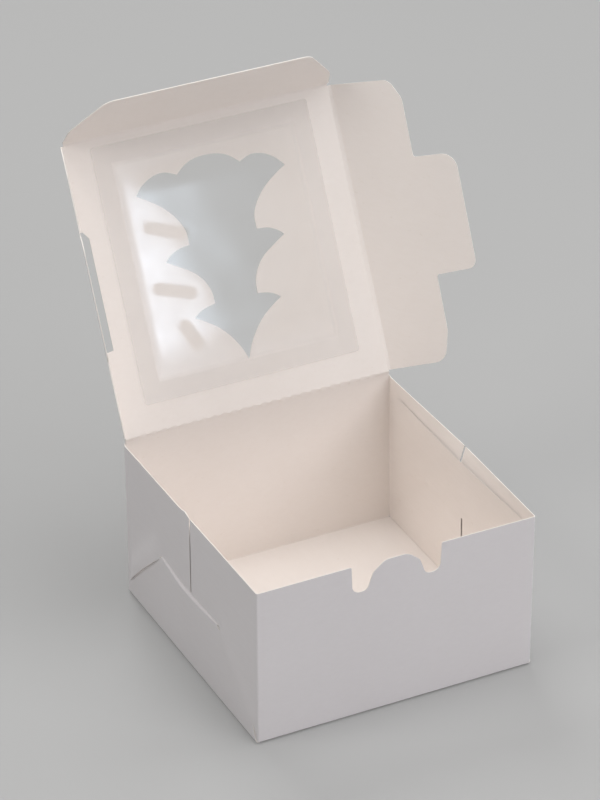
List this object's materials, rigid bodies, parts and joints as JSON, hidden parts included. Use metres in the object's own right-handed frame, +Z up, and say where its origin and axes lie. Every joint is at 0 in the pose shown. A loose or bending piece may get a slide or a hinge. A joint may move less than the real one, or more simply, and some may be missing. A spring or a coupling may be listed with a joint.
{
  "type": "square window bakery box",
  "caption": "Square white card bakery box, folded from one blank, with interlocked side walls and a hinged lid that has tuck flaps and a clear scalloped window.",
  "frame": {"origin": "centre of the underside of the floor", "axes": "+Z up, +X to the right along the front wall, +Y from the front wall to the lid crease"},
  "size_m": [0.2217, 0.2319, 0.2651],
  "materials": {
    "card_tray": "matte",
    "card_lid": "matte",
    "clear_film": "gloss"
  },
  "bodies": {
    "tray": {"tray": "card_tray"},
    "lid": {"lid_panel": "card_lid", "window_film": "clear_film"},
    "front_flap": {"front_flap": "card_lid"},
    "left_flap": {"left_flap": "card_lid"},
    "right_flap": {"right_flap": "card_lid"}
  },
  "joints": [
    {"name": "lid_hinge", "type": "hinge", "parent": "tray", "child": "lid", "pos_m": [0, 0.07975, 0.09425], "axis": [1, 0, 0], "range_deg": [-63, 117]},
    {"name": "front_flap_hinge", "type": "hinge", "parent": "lid", "child": "front_flap", "pos_m": [0, 0.15191, 0.23588], "axis": [1, 0, 0], "range_deg": [-58, 37]},
    {"name": "left_flap_hinge", "type": "hinge", "parent": "lid", "child": "left_flap", "pos_m": [-0.0787, 0.07975, 0.09425], "axis": [0, 0.454, 0.891], "range_deg": [-70, 35]},
    {"name": "right_flap_hinge", "type": "hinge", "parent": "lid", "child": "right_flap", "pos_m": [0.0787, 0.07975, 0.09425], "axis": [0, -0.454, -0.891], "range_deg": [-50, 55]}
  ]
}
